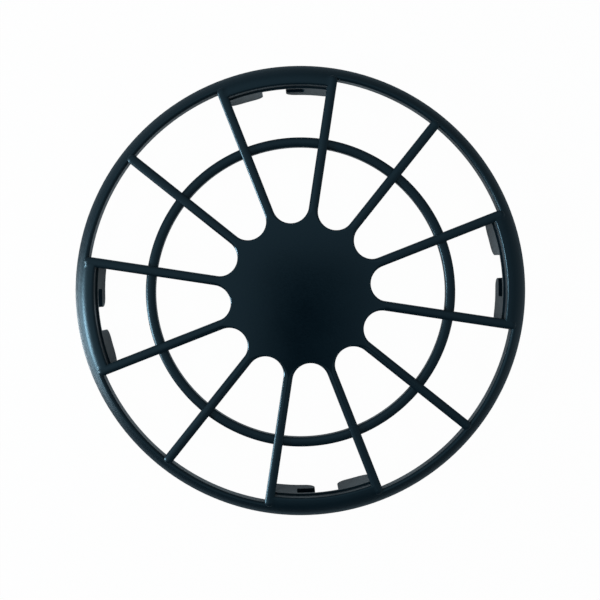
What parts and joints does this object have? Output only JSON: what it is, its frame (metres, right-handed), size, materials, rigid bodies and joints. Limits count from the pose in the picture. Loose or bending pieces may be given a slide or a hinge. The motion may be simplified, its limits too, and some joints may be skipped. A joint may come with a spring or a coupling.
{
  "type": "fan cover",
  "caption": "Round moulded fan cover: a scalloped hub on radial spokes over a recessed middle ring, with a rounded rim and slotted bayonet lugs behind it.",
  "frame": {"origin": "centre of the plane that the ends of the lugs stand on, on the axis of the cover", "axes": "+Z along the axis towards the front face, +X through the middle of a lug sector"},
  "size_m": [0.09, 0.09, 0.009],
  "materials": {
    "black_plastic": "satin black with a faint blue-green cast and a fine moulded grain"
  },
  "bodies": {
    "root": {"fan_cover": "black_plastic"}
  },
  "joints": []
}
